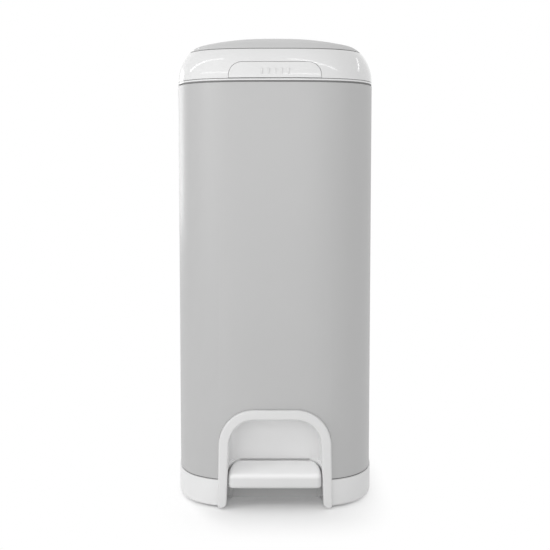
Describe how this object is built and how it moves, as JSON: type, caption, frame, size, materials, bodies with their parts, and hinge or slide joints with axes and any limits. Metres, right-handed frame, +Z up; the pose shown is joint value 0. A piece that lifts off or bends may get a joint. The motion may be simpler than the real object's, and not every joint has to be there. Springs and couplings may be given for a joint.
{
  "type": "nappy bin",
  "caption": "Tall foot-pedal nappy bin with a steel body, white base and hinged top housing, a sprung inner clamp and a grey dome lid that a push rod lifts.",
  "frame": {"origin": "on the floor, under the middle of the body", "axes": "+Z up, the pedal and the release tab face -Y, +X to the right as seen from the front"},
  "size_m": [0.2824, 0.3133, 0.66],
  "materials": {
    "body_steel": "satin grey coated steel sheet",
    "white_gloss": "glossy moulded white",
    "white_satin": "satin moulded white",
    "lid_grey": "satin light grey",
    "bright_metal": "plain bright steel",
    "inner_grey": "moulded mid grey",
    "foot_rubber": "matte",
    "foot_rubber_grey": "soft matte",
    "filter_carbon": "felted carbon pad",
    "film": "pleated thin film"
  },
  "bodies": {
    "base": {"body_shell": "body_steel", "body_collar": "white_gloss", "latch_strike": "bright_metal", "base_skirt": "white_satin", "base_plate": "white_satin", "pedal_axle": "bright_metal", "rubber_foot_1": "foot_rubber", "rubber_foot_2": "foot_rubber", "rubber_foot_3": "foot_rubber", "rubber_foot_4": "foot_rubber", "base_screw_1": "bright_metal", "base_screw_2": "bright_metal", "base_screw_3": "bright_metal", "base_screw_4": "bright_metal", "pedal_surround": "white_satin", "floor_tray": "white_satin", "rod_channel": "white_satin", "rod_guide_lower": "white_satin", "rod_guide_upper": "white_satin", "housing_hinge_pin": "bright_metal"},
    "pedal": {"pedal_pad": "white_satin", "pedal_lever": "inner_grey", "pedal_screw_left": "bright_metal", "pedal_screw_right": "bright_metal"},
    "push_rod": {"push_rod": "bright_metal", "rod_foot": "white_satin", "rod_head": "white_satin"},
    "top_housing": {"top_housing": "white_gloss", "lid_hinge_pin": "bright_metal", "inner_deck": "white_satin", "deck_screw_1": "bright_metal", "deck_screw_2": "bright_metal", "deck_screw_3": "bright_metal", "deck_screw_4": "bright_metal", "refill_well": "white_satin", "well_seal": "foot_rubber_grey", "cassette_cup": "white_gloss", "cassette_cap": "white_gloss", "film_pack": "film", "clamp_frame": "white_satin", "clamp_pin_left": "bright_metal", "clamp_pin_right": "bright_metal", "clamp_spring_left": "bright_metal", "clamp_spring_right": "bright_metal", "film_cutter": "inner_grey", "cutter_blade": "bright_metal", "latch_pin_left": "bright_metal", "latch_pin_right": "bright_metal", "latch_spring": "bright_metal"},
    "lid_lifter": {"lid_lifter": "inner_grey"},
    "latch_tab": {"latch_tab": "white_gloss"},
    "clamp_jaw_left": {"clamp_jaw_left": "inner_grey"},
    "clamp_jaw_right": {"clamp_jaw_right": "inner_grey"},
    "lid": {"lid_dome": "lid_grey", "lid_liner": "white_satin", "lid_hinge": "white_satin", "filter_holder": "white_satin", "carbon_filter": "filter_carbon"}
  },
  "joints": [
    {"name": "pedal_hinge", "type": "hinge", "parent": "base", "child": "pedal", "pos_m": [0, -0.01, 0.032], "axis": [1, 0, 0], "range_deg": [0, 10.5]},
    {"name": "push_rod_slide", "type": "slide", "parent": "base", "child": "push_rod", "axis": [0, 0, 1], "range_m": [0, 0.0237]},
    {"name": "top_housing_hinge", "type": "hinge", "parent": "base", "child": "top_housing", "pos_m": [0, 0.1545, 0.5919], "axis": [-1, 0, 0], "range_deg": [0, 75]},
    {"name": "lid_lifter_slide", "type": "slide", "parent": "top_housing", "child": "lid_lifter", "axis": [0, 0, 1], "range_m": [0, 0.0237]},
    {"name": "lid_hinge", "type": "hinge", "parent": "top_housing", "child": "lid", "pos_m": [0, 0.1352, 0.63705], "axis": [-1, 0, 0], "range_deg": [0, 80]},
    {"name": "latch_tab_hinge", "type": "hinge", "parent": "top_housing", "child": "latch_tab", "pos_m": [0, -0.1392, 0.6108], "axis": [1, 0, 0], "range_deg": [0, 5], "stiffness_Nm_per_rad": 1.2, "springref_deg": -4.58, "deforming": ["latch_spring"]},
    {"name": "clamp_jaw_left_hinge", "type": "hinge", "parent": "top_housing", "child": "clamp_jaw_left", "pos_m": [-0.066, 0, 0.56355], "axis": [0, 1, 0], "range_deg": [0, 70], "stiffness_Nm_per_rad": 0.03, "springref_deg": -51.57},
    {"name": "clamp_jaw_right_hinge", "type": "hinge", "parent": "top_housing", "child": "clamp_jaw_right", "pos_m": [0.066, 0, 0.56355], "axis": [0, -1, 0], "range_deg": [0, 70], "stiffness_Nm_per_rad": 0.03, "springref_deg": -51.57}
  ],
  "couplings": [
    {"joint": "push_rod_slide", "follows": "pedal_hinge", "m_per_rad": 0.12902},
    {"joint": "lid_lifter_slide", "follows": "pedal_hinge", "m_per_rad": 0.12902},
    {"joint": "lid_hinge", "follows": "pedal_hinge", "ratio": 7.619}
  ]
}
